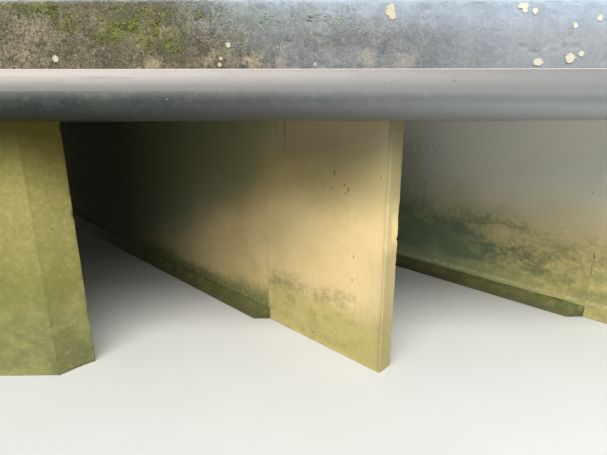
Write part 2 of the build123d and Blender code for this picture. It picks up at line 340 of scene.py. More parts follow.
def steel_material():
    """Dull zinc with a faint spangle and a little rust."""
    m = Shader("galvanised")
    spangle = m.add("ShaderNodeRGBToBW", {0: m.cells(0.009)["Color"]}).outputs[0]
    dull = m.noise(0.05, 4, 0.6)
    m.colour = m.mix(spangle, rgb(150, 154, 155), rgb(186, 189, 190))
    m.over(dull, 0.5, 0.75, 0.6, rgb(205, 205, 200))
    rust = m.noise(0.03, 5, 0.7)
    m.over(rust, 0.66, 0.74, 0.7, rgb(120, 78, 46))
    m.bump(dull, 0.0006, 0.5)
    return m.finish(m.step(dull, 0.3, 0.8, 0.38, 0.62), Metallic=0.75)


def pipe_material():
    """Black coating, with a dusty film on the upper half that also stands in for a painted reflection of the
    sky, painted shade underneath and painted glare that lightens it to the right.
    """
    m = Shader("pipe_coating")
    up = m.facing(2)
    drift = m.noise(0.06, 5, 0.62, stretch=(5, 1, 1))
    edge = m.plus(up, m.times(m.plus(drift, -0.5), 0.05))
    mottle = m.noise(0.01, 5, 0.7)
    m.colour = m.mix(m.step(m.noise(0.25, 4, 0.6), 0.35, 0.7), rgb(32, 39, 37), rgb(50, 56, 53))
    smear = m.noise(0.045, 6, 0.7, stretch=(1.6, 1, 1))
    m.over(smear, 0.48, 0.66, 0.3, rgb(88, 94, 88))
    m.over(mottle, 0.5, 0.72, 0.18, rgb(112, 116, 110))
    # painted shade: darker underneath
    m.over(up, -0.3, -0.9, 0.8, rgb(26, 27, 21))
    # painted glare: lighter to the right, most on the lower half
    painted_glare_to_right = m.step(m.where(0), NOSE_X - 2.6, NOSE_X + 1.7)
    m.cover(m.times(painted_glare_to_right, 0.9), m.mix(m.step(up, -0.75, -0.05), rgb(158, 160, 165), rgb(100, 102, 105)))
    # the dusty film on top, also a painted reflection of the sky: lighter the more it faces up
    dust_and_sheen = m.mix(m.step(up, 0.25, 0.85), rgb(110, 109, 106), rgb(162, 154, 147))
    dust_and_sheen = m.mix(m.times(m.step(drift, 0.45, 0.75), 0.35), dust_and_sheen, rgb(102, 99, 95))
    dust_and_sheen = m.mix(m.times(painted_glare_to_right, 0.9), dust_and_sheen, rgb(100, 100, 101))
    dust_and_sheen_cover = m.step(edge, 0.12, 0.22)
    # painted sheen that lightens towards the edge of the dusty film
    m.over(edge, -0.26, 0.17, 0.18, rgb(150, 148, 144))
    m.cover(m.times(dust_and_sheen_cover, 0.93), dust_and_sheen)
    m.over(m.sums("ABSOLUTE", m.plus(edge, -0.66)), 0.03, 0.0, 0.18, rgb(92, 92, 92))
    # a painted highlight along the very top
    m.over(up, 0.962, 0.985, 0.8, rgb(212, 202, 195))
    scratch = m.step(m.noise(0.0035, 2, 0.5, stretch=(30, 1, 1)), 0.7, 0.76)
    m.cover(m.times(m.times(scratch, m.step(m.noise(0.12, 3, 0.6), 0.52, 0.7)), 0.5), rgb(130, 130, 124))
    m.over(m.cells(0.21, stretch=(1.6, 1, 1))["Distance"], 0.05, 0.02, 0.5, rgb(58, 50, 44))
    fleck = m.step(m.cells(0.1, stretch=(1.5, 1, 1))["Distance"], 0.05, 0.025)
    m.cover(m.times(m.times(fleck, m.step(m.noise(0.2, 2, 0.5), 0.5, 0.6)), 0.6), rgb(176, 178, 170))
    grit = m.step(m.value(m.cells(0.009)), 0.8, 0.97)
    m.cover(m.times(m.times(grit, m.step(smear, 0.42, 0.62)), 0.1), rgb(150, 154, 146))
    m.bump(mottle, 0.0004, 0.6)
    return m.finish(m.plus(m.step(mottle, 0.3, 0.7, 0.4, 0.5), m.times(dust_and_sheen_cover, 0.32)), Specular_IOR_Level=0.3)


def plastic_material():
    """Matt black, dusty on top."""
    m = Shader("saddle_plastic")
    m.colour = m.mix(m.step(m.noise(0.05, 4, 0.6), 0.35, 0.7), rgb(44, 45, 45), rgb(58, 58, 56))
    m.over(m.facing(2), 0.3, 0.95, 0.6, rgb(120, 114, 100))
    m.bump(m.noise(0.003, 3, 0.6), 0.0004, 0.6)
    return m.finish(0.6)


def moss_material():
    """Olive cushions, lighter and cooler to the right under painted glare, like the upstand."""
    m = Shader("moss_tufts")
    fibre = m.noise(0.004, 3, 0.7)
    m.colour = m.mix(m.step(m.noise(0.022, 4, 0.65), 0.34, 0.62), rgb(112, 117, 62), rgb(56, 60, 34))
    m.over(fibre, 0.45, 0.75, 0.6, rgb(156, 162, 88))
    # painted glare from here to the right
    m.cover(m.step(m.where(0), NOSE_X - 1.4, NOSE_X - 0.9, 0.0, 0.9), rgb(140, 150, 144))
    m.bump(fibre, 0.003)
    return m.finish(1.0, Specular_IOR_Level=0.1)


def lichen_material():
    """A cream crust, lighter to the right under painted glare."""
    m = Shader("lichen_discs")
    crust = m.noise(0.006, 4, 0.7)
    m.colour = m.mix(m.step(crust, 0.4, 0.7), rgb(192, 186, 162), rgb(150, 142, 116))
    m.over(m.noise(0.018, 3, 0.6), 0.5, 0.7, 0.4, rgb(140, 134, 112))
    # painted glare: lighter to the right
    m.over(m.where(0), NOSE_X - 0.3, NOSE_X + 0.6, 0.3, rgb(222, 220, 208))
    m.bump(crust, 0.0025)
    return m.finish(0.95, Specular_IOR_Level=0.2)


# Meshes
SAME_CORNER = 1e-5  # corners of the CAD mesh that are nearer than this are one
ON_CUT = 1e-7  # a corner nearer to a cutting plane than this lies on it
LEAST_STRIP = 5e-4  # no cut leaves a narrower strip at a face's rim
LEAST_AREA = 1e-9  # smaller faces have no say in where their corners wear to
ONE_SIDE = 0.985  # normals whose cosine is above this belong to one side of an arris


def corners_of(verts):
    return np.array([v.co for v in verts], float)


def node_faces(node):
    """The flat faces of a CAD node, convex ones whole and others as triangles, and its sharp edges."""
    bm = bmesh.new()
    bm.from_mesh(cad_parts[node].data)
    bmesh.ops.remove_doubles(bm, verts=bm.verts, dist=SAME_CORNER)
    bmesh.ops.dissolve_limit(bm, angle_limit=math.radians(1), verts=bm.verts, edges=bm.edges)
    bmesh.ops.triangulate(bm, faces=[f for f in bm.faces if not all(loop.is_convex for loop in f.loops)])
    faces = [corners_of(f.verts) for f in bm.faces]
    edges = [corners_of(e.verts) for e in bm.edges
             if len(e.link_faces) == 2 and e.calc_face_angle(0) > math.radians(20)]
    bm.free()
    return faces, edges


def cut_up(points, direction, cuts):
    """The pieces of a convex polygon between parallel cutting planes."""
    pieces, rest = [], points
    reach = (rest - ORIGIN) @ direction
    first, last = np.searchsorted(cuts, (reach.min() + LEAST_STRIP, reach.max() - LEAST_STRIP))
    for cut in cuts[first:last]:
        near, far = [], []
        reach = (rest - ORIGIN) @ direction - cut
        for i in range(len(rest)):
            j = (i + 1) % len(rest)
            if reach[i] <= ON_CUT:
                near.append(rest[i])
            if reach[i] >= -ON_CUT:
                far.append(rest[i])
            if min(reach[i], reach[j]) < -ON_CUT and max(reach[i], reach[j]) > ON_CUT:
                middle = rest[i] + (rest[j] - rest[i]) * (reach[i] / (reach[i] - reach[j]))
                near.append(middle)
                far.append(middle)
        if len(near) > 2:
            pieces.append(np.array(near))
        rest = np.array(far)
    return pieces + [rest]


def steps(stretches):
    """Cutting planes from (start, end, spacing) stretches."""
    planes = [np.linspace(start, end, max(1, round((end - start) / spacing)) + 1)
              for start, end, spacing in stretches]
    return np.unique(np.round(np.concatenate(planes), 5))


def edge_distance(points, edges):
    """How far each point lies from the nearest sharp edge."""
    nearest = np.full(len(points), np.inf)
    for a, b in edges:
        d = b - a
        t = np.clip((points - a) @ d / (d @ d), 0, 1)
        nearest = np.minimum(nearest, np.linalg.norm(points - a - t[:, None] * d, axis=1))
    return nearest


def linked(name, data):
    """A new object in the scene, around a mesh, a lamp or a camera."""
    thing = bpy.data.objects.new(name, data)
    bpy.context.scene.collection.objects.link(thing)
    return thing


def new_piece(name, bm, material, smooth_angle):
    """A visible piece, shaded smooth where faces meet at less than smooth_angle degrees."""
    mesh = bpy.data.meshes.new(name)
    bm.to_mesh(mesh)
    bm.free()
    mesh.shade_smooth()
    mesh.set_sharp_from_angle(angle=math.radians(smooth_angle))
    mesh.materials.append(material)
    piece = linked(name, mesh)
    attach(piece, "root")
    return piece


def paint(mesh, masks, points):
    """Stores the masks, from 0 to 1 at each corner, for the materials to read."""
    for key, values in masks(points).items():
        attribute = mesh.attributes.new(key, "FLOAT", "POINT")
        attribute.data.foreach_set("value", np.clip(values, 0, 1).astype(np.float32))


def weathered(node, cuts, depth, material, masks):
    """Puts a finely cut copy in a CAD node's place, worn inwards by depth(points, normals, edge distance)."""
    faces, edges = node_faces(node)
    for axis, stretches in cuts.items():
        planes = steps(stretches)
        faces = [piece for corners in faces for piece in cut_up(corners, AXES[axis], planes)]
    index, verts, polys = {}, [], []
    for corners in faces:
        poly = []
        for key, corner in zip(map(tuple, np.round(corners, 5)), corners):
            if key not in index:
                index[key] = len(verts)
                verts.append(corner)
            if not poly or poly[-1] != index[key]:
                poly.append(index[key])
        if len(poly) > 1 and poly[0] == poly[-1]:
            poly.pop()
        if len(poly) > 2:
            polys.append(poly)
    cells = bpy.data.meshes.new("cells")
    cells.from_pydata([tuple(v) for v in verts], [], polys)
    bm = bmesh.new()
    bm.from_mesh(cells)
    bpy.data.meshes.remove(cells)
    bmesh.ops.remove_doubles(bm, verts=bm.verts, dist=3 * SAME_CORNER)
    bm.normal_update()
    rows, normals = [], []
    for v in bm.verts:
        seen = []  # one normal for each side of an arris that meets here
        for f in v.link_faces:
            if f.calc_area() > LEAST_AREA and all(f.normal.dot(n) < ONE_SIDE for n in seen):
                seen.append(f.normal.copy())
        rows += [v.index] * len(seen)
        normals += [tuple(n) for n in seen]
    points = corners_of(bm.verts)
    rows, normals = np.array(rows), np.array(normals, float)
    sunk = depth(points[rows], normals, edge_distance(points, edges)[rows])
    moved = points.copy()
    np.subtract.at(moved, rows, normals * sunk[:, None])
    for v, co in zip(bm.verts, moved):
        v.co = co
    piece = new_piece(node + "_cast", bm, material, 32)
    paint(piece.data, masks, points)
    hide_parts(node)


# Wall painting
def spot(a, b, at_a, at_b, radius_a, radius_b):
    """A soft round patch, 1 in the middle, over two coordinates."""
    return np.clip(1 - ((a - at_a) / radius_a) ** 2 - ((b - at_b) / radius_b) ** 2, 0, 1)


# Small dark scars on the centre wall: s, z and half sizes
MARKS = [(0.534, 1.621, 0.011, 0.034), (0.563, 1.493, 0.012, 0.014), (0.384, 1.502, 0.013, 0.02),
         (0.426, 1.537, 0.02, 0.009), (0.41, 1.47, 0.01, 0.014), (0.652, 1.514, 0.018, 0.008),
         (0.083, 1.644, 0.01, 0.022), (0.312, 0.952, 0.012, 0.014)]


def centre_wall_masks(p):
    """The bay at the mouth has its own tones (front), and left is the face towards the left cell."""
    s, u, z = barrel(p)
    left = smooth(u, 0.09, 0.07)
    wave = cloud(p, 0.3, 5) - 0.5
    low = cloud(p, (0.11, 0.11, 0.07), 11, 4, 0.65)
    front = smooth(s, 1.4, 1.36)
    behind = 1 - front
    yellow = front * smooth(z + 0.3 * wave, 0.66, 0.3) * 0.75 + behind * 0.35 * smooth(z, 0.8, 0.2)
    band = smooth(abs(z - 0.49 - 0.16 * wave), 0.17, 0.02)
    damp = front * left * band * smooth(s, 0.06, 0.35) * smooth(low, 0.2, 0.65) * 0.6
    damp = np.maximum(damp, left * spot(s, z, 0.97, 0.5, 0.26, 0.17) * 0.55)
    algae_and_shade = front * smooth(z + 0.25 * wave, 0.66, 0.3) * smooth(low, 0.2, 0.75)
    algae_and_shade = algae_and_shade * (0.5 + 0.25 * smooth(s, 0.6, 1.2))
    algae_and_shade = np.maximum(algae_and_shade, behind * smooth(z + 0.2 * wave, 0.46, 0.14) * 0.95)
    dark = behind * smooth(z + 0.1 * (low - 0.5), 0.3, 0.16) * 0.45
    # soot, and painted shade that darkens the wall deeper in
    soot_and_shade = behind * (0.12 * smooth(low, 0.3, 0.8) + 0.78 * smooth(s, 2.4, 4.8))
    # painted shade on the nose's arris and chamfer, high up under the pipe
    soot_and_shade = np.maximum(
        soot_and_shade, smooth(s, 0.04, 0.012) * (0.2 * smooth(z, 1.05, 1.4) + 0.56 * smooth(z, 1.26, 1.6)))
    diagonal = abs((s - 1.49) - (z - 0.29) * 0.53)
    soot_and_shade = np.maximum(
        soot_and_shade, left * smooth(diagonal, 0.13, 0.01) * smooth(z, 0.2, 0.5) * smooth(z, 1.1, 0.7) * 0.22)
    lime = left * smooth(abs(s - 0.075 - 0.03 * (low - 0.5)), 0.055, 0.0) * smooth(z, 1.4, 0.8) * 0.36
    lime = lime * smooth(cloud(p, (0.03, 0.03, 0.12), 13), 0.3, 0.6) * smooth(z, 0.28, 0.4)
    lime = np.maximum(lime, left * smooth(abs(s - 1.33), 0.03, 0.01) * 0.3 * smooth(z, 1.6, 1.2))
    drip = left * smooth(abs(s - 1.17), 0.16, 0.08) * smooth(z, 1.6, 1.95)
    mark = np.zeros(len(s))
    for at_s, at_z, half_s, half_z in MARKS:
        mark = np.maximum(mark, left * spot(s, z, at_s, at_z, half_s, half_z))
    nose = np.maximum(smooth(u, 0.01, 0.03) * smooth(s, 0.3, 0.0), smooth(s, 0.03, 0.012))
    # painted shade: a cool green tint above a line that falls deeper in, where the left face lies in shade
    green_shade = left * smooth(z + 0.42 * (s - 1.8) + 0.25 * wave, 0.95, 1.45) * (0.14 + 0.58 * smooth(s, 0.8, 1.9))
    green_shade = green_shade * smooth(s, 7.0, 4.8)
    # painted shade: a cooler tone high up and deeper in
    grey_shade_and_glare = 0.6 * smooth(z, 1.6, 1.95) + 0.4 * smooth(s, 1.5, 3.5)
    shade = np.maximum(0.85 * nose * smooth(abs(z - 1.3), 0.06, 0.32), 0.55 * left * smooth(s, 0.03, 0.012))
    shade = np.maximum(shade, 0.7 * smooth(z, 1.15, 1.6) * smooth(z, 2.1, 1.75) * smooth(s, 1.5, 0.5))
    shade = np.maximum(shade, 0.24 * smooth(s, 0.35, 0.05) * smooth(z, 1.35, 0.7))
    return dict(yellow=yellow, damp=damp, algae_and_shade=algae_and_shade, dark=dark, soot_and_shade=soot_and_shade, lime=lime,
                drip=drip, green_shade=green_shade, grey_shade_and_glare=grey_shade_and_glare, mark=mark, shade=shade)


def side_wall_masks(p):
    """The right wall, the left wall behind its square end, and their buried earth sides."""
    s, u, z = barrel(p)
    right = smooth(u, 1.5, 2.0)
    wave = cloud(p, 0.45, 31) - 0.5
    low = cloud(p, (0.2, 0.2, 0.09), 37, 5, 0.65)
    rise = 0.66 + 0.35 * wave + 0.1 * smooth(s, -1.0, 1.2)
    band = smooth(z, rise + 0.34, rise - 0.3)
    green = rise + 0.2 * smooth(s, 0.5, -0.1) * smooth(s, -1.6, -1.0)
    clean = 1 - 0.75 * np.sqrt(spot(s, z, 0.03, 0.71, 0.2, 0.11)) * smooth(low, 0.15, 0.5)
    band = band * clean
    algae_and_shade = smooth(z, green + 0.3, green - 0.3) * clean * (0.45 + 0.4 * smooth(low, 0.28, 0.7))
    deep = smooth(z, rise + 0.75, rise - 0.05) * smooth(s, -0.9, 0.8)
    low_deep = smooth(z, rise + 0.42, rise - 0.1) * smooth(s, -1.1, 0.8) * clean
    dark = band * smooth(low, 0.22, 0.74) * (0.18 + 0.6 * smooth(s, -1.3, 0.1)) * smooth(z, 0.16, 0.34)
    # deeper in, painted shade darkens the walls
    dark = np.maximum(dark + 0.6 * low_deep * smooth(z, 0.16, 0.42), smooth(s, 2.5, 4.5) * 0.5)
    yellow = smooth(z, 0.95, 0.25) * 0.8
    lime = smooth(abs(z - 0.165 - 0.04 * (low - 0.5)), 0.06, 0.0) * 0.45 * smooth(low, 0.2, 0.5)
    lime = np.maximum(lime, spot(s, z, 0.0, 0.42, 0.75, 0.14) * smooth(low, 0.45, 0.7) * 0.35)
    # painted glare: a lighter, cooler tone over the right wall's upper part
    grey_shade_and_glare = right * smooth(z, 0.5, 1.5)
    buried = np.maximum(smooth(u, 2.42, 2.56), smooth(u, -1.72, -1.84)) * smooth(p[:, 1] - FACE_Y, 0.08, 0.25)
    inner = 1 - buried
    soil = smooth(z + 0.5 * wave, 1.9, 0.2)
    shade = 0.5 * (1 - right) + 0.5 * right * inner * spot(z, s, 0.8, -0.8, 0.45, 0.8)
    # painted shade deeper in and high up, with soot
    soot_and_shade = np.maximum(0.5 * smooth(s, 1.0, 3.5), 0.62 * smooth(s, 0.2, 1.5) * smooth(z, 2.3, 1.5))
    # painted glare: near-white over the right wall's upper part near the mouth
    painted_glare = right * inner * smooth(z + 0.25 * s, 0.8, 2.2) * smooth(s, 2.4, 1.3) * smooth(s, -1.5, -1.0)
    # the cool green tint here is painted shade low in the right cell, beyond the mouth
    return dict(yellow=yellow * inner, algae_and_shade=algae_and_shade * (0.25 + 0.75 * inner),
                dark=dark * inner + buried * 0.35 * soil, lime=lime * inner,
                grey_shade_and_glare=grey_shade_and_glare * inner + 0.7 * buried, shade=np.maximum(0.6 * buried, shade),
                soot_and_shade=right * inner * soot_and_shade, damp=band * 0.35 * inner + 0.5 * buried * soil,
                green_shade=0.62 * deep * inner * right * smooth(s, 4.0, 2.2), painted_glare=painted_glare)


def face_wall_masks(p):
    """The wing walls and the left wall's square end, which the water and the drip from the pipe reach, with
    painted shade of plants near the mouth and of the pipe at the top.
    """
    x, z = p[:, 0] - NOSE_X, p[:, 2]
    wob = cloud(p, 0.35, 51)
    wave = wob - 0.5
    low = cloud(p, 0.14, 53, 4, 0.6)
    near = smooth(x, -4.1, -3.1) * smooth(x, 1.0, 0.0)
    far = 1 - near
    rising = smooth(z + 0.4 * wave, 1.5, 0.5)
    foot = smooth(z + 0.4 * wave, 1.1, 0.25)
    patchy = smooth(low, 0.3, 0.7)
    # near the mouth the green tint, the dark and the shade are partly painted shade of plants in front
    algae_and_shade = near * (0.58 + rising * (0.25 + 0.3 * patchy)) + far * foot * (0.3 + 0.6 * patchy)
    dark = near * smooth(z, 1.1, 0.2) * (0.15 + 0.5 * smooth(low, 0.35, 0.7))
    dark = dark + far * 0.3 * foot * smooth(low, 0.4, 0.7)
    damp = smooth(z, 0.6, 0.2) * smooth(low, 0.4, 0.7) * 0.5
    damp = damp + 0.35 * far * smooth(cloud(p, (0.05, 0.05, 0.8), 57), 0.5, 0.7)
    # olive is partly painted shade of plants, and its top step and the darker top band are painted shade
    # under the pipe
    return dict(yellow=near * (0.85 + 0.15 * wob) + far * 0.45 * foot, algae_and_shade=algae_and_shade, dark=dark,
                soot_and_shade=smooth(z, 1.35, 1.9) * 0.3, shade=0.5 * near + 0.3 * far, grey_shade_and_glare=0.5 * far,
                olive=near * (0.42 * smooth(z, 0.35, 0.85) + 0.18 * smooth(z, 1.45, 1.8)), damp=damp)


# Wear
def wall_wear(p, n, edge):
    """Waves of the formwork, a rough foot and chipped arrises, nearly whole at the left wing wall's joint."""
    wave = 0.0035 * noise(p, 0.5, 3) + 0.0016 * noise(p, 0.12, 4)
    boards = 0.0009 * noise(p, (0.05, 0.05, 1.5), 6)
    rough = 0.0025 * cloud(p, 0.03, 8, 2) * smooth(p[:, 2], 0.7, 0.2)
    chip = 0.007 * smooth(noise(p, (0.2, 0.2, 0.06), 9), 0.6, 0.95) * smooth(edge, 0.02, 0.004)
    nick = 0.003 * noise(p, (0.2, 0.2, 0.018), 10) * smooth(edge, 0.012, 0.002)
    flush = smooth(abs(p[:, 0] - WING_JOINT_X), 0.0, 0.03)
    return (wave + boards + rough) * smooth(edge, 0.0, 0.03) + (chip + nick) * (0.15 + 0.85 * flush)


def upstand_wear(p, n, edge):
    """Exposed grit, pits and chipped arrises."""
    grit = 0.0036 * cloud(p, 0.028, 61, 2, 0.6) + 0.0015 * noise(p, 0.2, 62)
    pit = 0.006 * smooth(noise(p, 0.033, 63), 0.74, 0.92)
    chip = 0.005 * smooth(noise(p, (0.05, 0.2, 0.2), 64), 0.62, 0.95) * smooth(edge, 0.02, 0.004)
    return grit + pit + chip


def slab_wear(p, n, edge):
    """Slow waves, and the marks of the tamping beam on the top."""
    tamped = 0.003 * abs(n[:, 2]) * noise(p, (0.6, 0.05, 1.0), 71)
    return (0.003 * noise(p, 0.4, 72) + tamped) * smooth(edge, 0.0, 0.05)


# The concrete
WALL = wall_material()
UPSTAND = upstand_material()
FOOT = plain_concrete(
    "mossy_foot", rgb(128, 118, 76), rgb(92, 86, 54), rgb(66, 60, 40), rgb(78, 90, 40), 0.75)
SLAB = plain_concrete(
    "slab_concrete", rgb(158, 150, 124), rgb(134, 127, 104), rgb(112, 104, 82), rgb(84, 88, 48), 0.88)
STEEL = steel_material()
PIPE = pipe_material()
PLASTIC = plastic_material()
MOSS = moss_material()
LICHEN = lichen_material()

# Cuts lie closest where the photo shows the concrete from near by, and planes beyond a node do nothing.
FINE, FINER = 0.016, 0.008
Z_WALL = [(0.0, SOFFIT, 0.02)]
CENTRE_CUTS = {
    "s": [(0, FINE, FINER), (FINE, 0.2, FINE), (0.2, 0.6, FINER), (0.6, 1.38, FINE)],
    "u": [(0, FINE, FINER), (FINE, CENTRE_THICKNESS - FINE, 0.017),
          (CENTRE_THICKNESS - FINE, CENTRE_THICKNESS, FINER)],
    "z": [(0.0, 1.36, FINE), (1.36, 1.64, FINER), (1.64, SOFFIT, FINE)]}
LEFT_CUTS = {"s": [(1.88, 3.0, 0.025)], "u": [(LEFT_WALL_U - SIDE_THICKNESS, LEFT_WALL_U, 0.02)], "z": Z_WALL}
RIGHT_CUTS = {"s": [(-2.6, -0.9, 0.025)], "u": [(2.3, 2.62, 0.04)], "z": Z_WALL}
for node, cuts, masks in (
        ("centre_wall_mouth", CENTRE_CUTS, centre_wall_masks),
        ("left_wall_mouth", LEFT_CUTS, face_wall_masks),
        ("right_wall_mouth", RIGHT_CUTS, side_wall_masks)):
    weathered(node, cuts, wall_wear, WALL, masks)
for node, start, end, spacing, masks in (
        ("centre_wall_front", 1.1, 4.95, 0.03, centre_wall_masks),
        ("right_wall_front", -1.3, 2.6, 0.026, side_wall_masks),
        ("left_wall_front", 2.9, 6.8, 0.045, side_wall_masks),
        ("centre_wall_rear", 4.6, 8.4, 0.06, centre_wall_masks),
        ("right_wall_rear", 2.1, 6.1, 0.06, side_wall_masks),
        ("left_wall_rear", 6.3, 10.3, 0.06, side_wall_masks)):
    cuts = {"s": [(start, end, spacing)], "z": [(0.1, SOFFIT, max(0.022, spacing * 0.8))]}
    weathered(node, cuts, wall_wear, WALL, masks)


def foot_masks(p):
    s, u, z = barrel(p)
    right = smooth(u, 1.5, 2.0)
    moss = smooth(cloud(p, 0.3, 81), 0.25, 0.5) + right * smooth(abs(s), 0.7, 0.3)
    return dict(moss=np.clip(moss, 0, 1) * smooth(z, 0.0, 0.06),
                wet=smooth(z, 0.09, 0.01) * 0.6 + 0.4 * right * smooth(s, 0.1, 0.8))


def slab_masks(p):
    return dict(moss=smooth(cloud(p, 0.5, 83), 0.5, 0.7) * 0.5)


for node, start, end in (
        ("centre_wall_foot", 1.0, 8.5), ("right_wall_foot", -1.5, 6.2), ("left_wall_foot", 2.8, 10.4)):
    cuts = {"s": [(start, end, 0.05)], "z": [(0, FOOT_TOP, 0.02)]}
    weathered(node, cuts, wall_wear, FOOT, foot_masks)
for node, start, end in (
        ("deck_slab_mouth", 0, FIRST_JOINT),
        ("deck_slab_front", FIRST_JOINT, SECOND_JOINT),
        ("deck_slab_rear", SECOND_JOINT, BACK_END)):
    cuts = {"x": [(-9.0, 6.0, 0.08)], "y": [(start, end, 0.08)], "z": [(SOFFIT, SLAB_TOP, 0.06)]}
    weathered(node, cuts, slab_wear, SLAB, slab_masks)
for node, start, end in (("left_wing_wall", -4.2, -2.4), ("right_wing_wall", 3.3, 5.3)):
    cuts = {"x": [(start, end, 0.03)], "y": [(0, SIDE_THICKNESS, 0.06)], "z": [(0, SLAB_TOP, 0.03)]}
    weathered(node, cuts, wall_wear, WALL, face_wall_masks)

# Growth on the upstand's face: place along it from the nose, height, half width, half height and strength
TAN_GROWTH = [(-1.65, 2.44, 0.09, 0.06, 1.0), (-1.25, 2.5, 0.04, 0.05, 0.8), (-1.28, 2.45, 0.05, 0.05, 0.8),
              (-0.98, 2.45, 0.09, 0.08, 1.0), (-0.78, 2.47, 0.06, 0.11, 1.0), (-0.2, 2.46, 0.09, 0.09, 1.0),
              (0.06, 2.45, 0.1, 0.07, 1.0), (-2.5, 2.5, 0.12, 0.08, 0.6), (-2.18, 2.45, 0.06, 0.06, 0.7),
              (0.75, 2.47, 0.35, 0.05, 0.6), (1.05, 2.52, 0.12, 0.05, 0.7), (-2.0, 2.72, 0.1, 0.12, 0.5)]
GREEN_GROWTH = [(-2.38, 2.78, 0.2, 0.1, 1.0), (-1.8, 2.66, 0.3, 0.16, 1.0), (-1.52, 2.58, 0.12, 0.1, 1.0),
                (-0.98, 2.74, 0.3, 0.12, 0.9), (-0.62, 2.76, 0.22, 0.1, 0.8), (-0.35, 2.72, 0.2, 0.12, 0.5),
                (-1.45, 2.76, 0.25, 0.1, 0.7), (-1.06, 2.6, 0.06, 0.06, 0.8), (-2.15, 2.7, 0.18, 0.1, 0.7)]


def growth(x, z, places):
    found = np.zeros(len(x))
    for at_x, at_z, half_x, half_z, strength in places:
        found = np.maximum(found, strength * np.sqrt(spot(x, z, at_x, at_z, half_x, half_z)))
    return found


def upstand_masks(p):
    x, z = p[:, 0] - NOSE_X, p[:, 2]
    wob = cloud(p, 0.12, 91, 5, 0.6)
    away = smooth(abs(x + 0.6), 2.1, 2.5)
    green = np.maximum(growth(x, z, GREEN_GROWTH), away * smooth(z, 2.5, 2.8) * smooth(wob, 0.4, 0.6) * 0.8)
    green = np.maximum(green, 0.45 * smooth(x, -0.1, -0.6) * smooth(z, 2.5, 2.75))
    tan = np.maximum(growth(x, z, TAN_GROWTH), away * smooth(z, 2.56, 2.42) * smooth(wob, 0.45, 0.6))
    tan = np.maximum(tan, 0.4 * smooth(z, 2.5, 2.42)) * (
        0.25 + 0.75 * smooth(cloud(p, 0.05, 93, 4, 0.7), 0.3, 0.5))
    rise = smooth(z, 2.4, 2.8)
    # painted glare over the front face, more to the right and at the top, fading out far to the right
    shift = x + 0.45 * (rise - 0.4)
    painted_glare_and_highlight = 0.66 * smooth(shift, -1.5, -0.75) + 0.34 * smooth(shift, -0.1, 1.0)
    painted_glare_and_highlight = np.maximum(painted_glare_and_highlight, 0.9 * smooth(rise, 0.7, 0.98) * smooth(x, -1.32, -1.02))
    painted_glare_and_highlight = painted_glare_and_highlight * (0.2 + 0.8 * smooth(p[:, 1] - FACE_Y, 0.2, 0.02)) * (1 - 0.7 * smooth(x, 1.7, 3.6))
    middle = 0.3 + 0.7 * smooth(abs(x + 1.55), 1.0, 0.5)
    dark = (0.7 + 0.3 * smooth(wob, 0.42, 0.62)) * (1 - 0.6 * painted_glare_and_highlight) * middle
    streak = 0.55 * smooth(abs(rise - 0.42), 0.34, 0.1) * smooth(x, -2.5, -2.1) * smooth(x, 0.4, -0.1)
    dark = np.maximum(dark, streak)
    # painted highlight along the top chamfer
    painted_glare_and_highlight = np.maximum(painted_glare_and_highlight, 0.6 * smooth(z, 2.817, 2.826))  # the chamfer at the top
    # the last key is painted glare, growing to the right
    return dict(film=green, tan=tan, painted_glare_and_highlight=painted_glare_and_highlight, dark=dark, painted_glare_to_right=smooth(x, 0.15, 1.1))


CHAMFER, UPSTAND_BACK = 0.02, 0.3
Z_UPSTAND = [(SLAB_TOP, SLAB_TOP + FINE, FINER), (SLAB_TOP + FINE, UPSTAND_TOP - CHAMFER, 0.013),
             (UPSTAND_TOP - CHAMFER, UPSTAND_TOP, CHAMFER / 2)]
Y_UPSTAND = [(0, CHAMFER, CHAMFER / 2), (CHAMFER, UPSTAND_BACK - CHAMFER, 0.03),
             (UPSTAND_BACK - CHAMFER, UPSTAND_BACK, CHAMFER / 2)]
for node, planes in (
        ("centre_upstand", [(-2.66, 1.6, 0.013), (1.6, 3.7, 0.03)]),
        ("left_upstand", [(-4.2, -2.66, 0.022)]),
        ("right_upstand", [(3.6, 5.3, 0.022)])):
    cuts = {"x": planes, "y": Y_UPSTAND, "z": Z_UPSTAND}
    weathered(node, cuts, upstand_wear, UPSTAND, upstand_masks)


def fill_joint(name, left, right):
    """Weathered sealant that fills the joint between two lengths of upstand, just behind their faces."""
    lap, behind, below, bend = 0.006, 0.0045, 0.0055, 0.024
    x0, x1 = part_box(left)[1].x - lap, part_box(right)[0].x + lap
    rows = [(behind, z) for z in np.linspace(SLAB_TOP, UPSTAND_TOP - bend, 26)]
    rows += [(y, UPSTAND_TOP - below) for y in np.linspace(bend, UPSTAND_BACK - bend, 16)]
    rows += [(UPSTAND_BACK - behind, z) for z in np.linspace(UPSTAND_TOP - bend, SLAB_TOP, 26)]
    bm = bmesh.new()
    loops = []
    for x in np.linspace(x0, x1, 5):
        sag = 0.0015 * math.sin(math.pi * (x - x0) / (x1 - x0))
        loop = []
        for y, z in rows:
            r = sag + 0.0012 * noise(np.array([[x, y, z]]), 0.02, 97)[0]
            sunk_y = y + r if y < UPSTAND_BACK / 2 else y - r
            sunk_z = z - r if z > UPSTAND_TOP - CHAMFER else z
            loop.append(bm.verts.new((x, FACE_Y + sunk_y, sunk_z)))
        loops.append(loop)
    for a, b in zip(loops, loops[1:]):
        for i in range(len(rows)):
            j = (i + 1) % len(rows)
            bm.faces.new((a[i], b[i], b[j], a[j]))
    bm.faces.new(loops[0])
    bm.faces.new(list(reversed(loops[-1])))
    bmesh.ops.recalc_face_normals(bm, faces=bm.faces)
    piece = new_piece(name, bm, UPSTAND, 40)
    paint(piece.data, upstand_masks, corners_of(piece.data.vertices))


